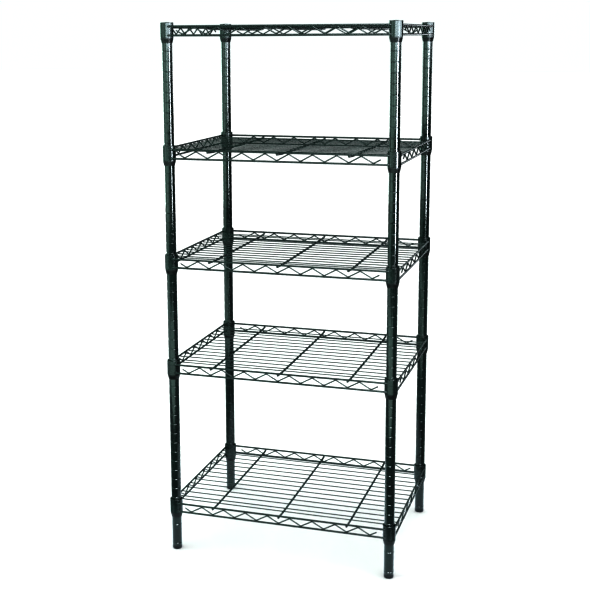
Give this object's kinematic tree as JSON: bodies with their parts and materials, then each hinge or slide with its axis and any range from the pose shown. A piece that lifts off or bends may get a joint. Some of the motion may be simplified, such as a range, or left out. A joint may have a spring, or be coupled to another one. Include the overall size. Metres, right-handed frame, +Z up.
{
  "type": "wire shelving rack",
  "caption": "Free-standing wire shelving rack: coated wire shelves with zigzag trusses clip onto grooved round posts with split sleeves, on levelling feet.",
  "frame": {"origin": "on the floor, at the centre of the posts and of the bounding box's base", "axes": "+Z up along the posts, +X to the right along the shelves' width, front towards -Y"},
  "size_m": [0.6096, 0.4572, 1.3859],
  "materials": {
    "coated_post": "very dark green-black epoxy coating on steel tube, glossy",
    "coated_wire": "very dark green-black epoxy coating on steel wire, glossy",
    "coated_collar": "very dark green-black epoxy coating on steel corner collars, satin",
    "black_plastic": "black moulded plastic, satin",
    "foot_plastic": "dark grey moulded plastic, satin",
    "zinc_steel": "zinc-plated steel, satin"
  },
  "bodies": {
    "posts": {"lower_post_front_left": "coated_post", "lower_post_front_right": "coated_post", "lower_post_back_left": "coated_post", "lower_post_back_right": "coated_post", "upper_post_front_left": "coated_post", "upper_post_front_right": "coated_post", "upper_post_back_left": "coated_post", "upper_post_back_right": "coated_post", "post_cap_front_left": "black_plastic", "post_cap_front_right": "black_plastic", "post_cap_back_left": "black_plastic", "post_cap_back_right": "black_plastic", "foot_inserts": "foot_plastic", "seam_inserts": "zinc_steel", "seam_studs": "zinc_steel", "bottom_split_sleeves": "black_plastic", "second_split_sleeves": "black_plastic", "middle_split_sleeves": "black_plastic", "fourth_split_sleeves": "black_plastic", "top_split_sleeves": "black_plastic"},
    "bottom_shelf": {"bottom_long_rims": "coated_wire", "bottom_side_rims": "coated_wire", "bottom_long_zigzags": "coated_wire", "bottom_side_zigzags": "coated_wire", "bottom_mat_wires": "coated_wire", "bottom_cross_ribs": "coated_wire", "bottom_collars": "coated_collar"},
    "second_shelf": {"second_long_rims": "coated_wire", "second_side_rims": "coated_wire", "second_long_zigzags": "coated_wire", "second_side_zigzags": "coated_wire", "second_mat_wires": "coated_wire", "second_cross_ribs": "coated_wire", "second_collars": "coated_collar"},
    "middle_shelf": {"middle_long_rims": "coated_wire", "middle_side_rims": "coated_wire", "middle_long_zigzags": "coated_wire", "middle_side_zigzags": "coated_wire", "middle_mat_wires": "coated_wire", "middle_cross_ribs": "coated_wire", "middle_collars": "coated_collar"},
    "fourth_shelf": {"fourth_long_rims": "coated_wire", "fourth_side_rims": "coated_wire", "fourth_long_zigzags": "coated_wire", "fourth_side_zigzags": "coated_wire", "fourth_mat_wires": "coated_wire", "fourth_cross_ribs": "coated_wire", "fourth_collars": "coated_collar"},
    "top_shelf": {"top_long_rims": "coated_wire", "top_side_rims": "coated_wire", "top_long_zigzags": "coated_wire", "top_side_zigzags": "coated_wire", "top_mat_wires": "coated_wire", "top_cross_ribs": "coated_wire", "top_collars": "coated_collar"},
    "foot_front_left": {"levelling_foot_front_left": "foot_plastic"},
    "foot_front_right": {"levelling_foot_front_right": "foot_plastic"},
    "foot_back_left": {"levelling_foot_back_left": "foot_plastic"},
    "foot_back_right": {"levelling_foot_back_right": "foot_plastic"}
  },
  "joints": [
    {"name": "bottom_shelf_lift", "type": "slide", "parent": "posts", "child": "bottom_shelf", "axis": [0, 0, 1], "range_m": [0, 0.3296]},
    {"name": "second_shelf_lift", "type": "slide", "parent": "posts", "child": "second_shelf", "axis": [0, 0, 1], "range_m": [0, 0.228]},
    {"name": "middle_shelf_lift", "type": "slide", "parent": "posts", "child": "middle_shelf", "axis": [0, 0, 1], "range_m": [0, 0.228]},
    {"name": "fourth_shelf_lift", "type": "slide", "parent": "posts", "child": "fourth_shelf", "axis": [0, 0, 1], "range_m": [0, 0.2534]},
    {"name": "top_shelf_lift", "type": "slide", "parent": "posts", "child": "top_shelf", "axis": [0, 0, 1], "range_m": [0, 0.06]},
    {"name": "foot_front_left_screw", "type": "slide", "parent": "posts", "child": "foot_front_left", "axis": [0, 0, -1], "range_m": [0, 0.018]},
    {"name": "foot_front_right_screw", "type": "slide", "parent": "posts", "child": "foot_front_right", "axis": [0, 0, -1], "range_m": [0, 0.018]},
    {"name": "foot_back_left_screw", "type": "slide", "parent": "posts", "child": "foot_back_left", "axis": [0, 0, -1], "range_m": [0, 0.018]},
    {"name": "foot_back_right_screw", "type": "slide", "parent": "posts", "child": "foot_back_right", "axis": [0, 0, -1], "range_m": [0, 0.018]}
  ]
}
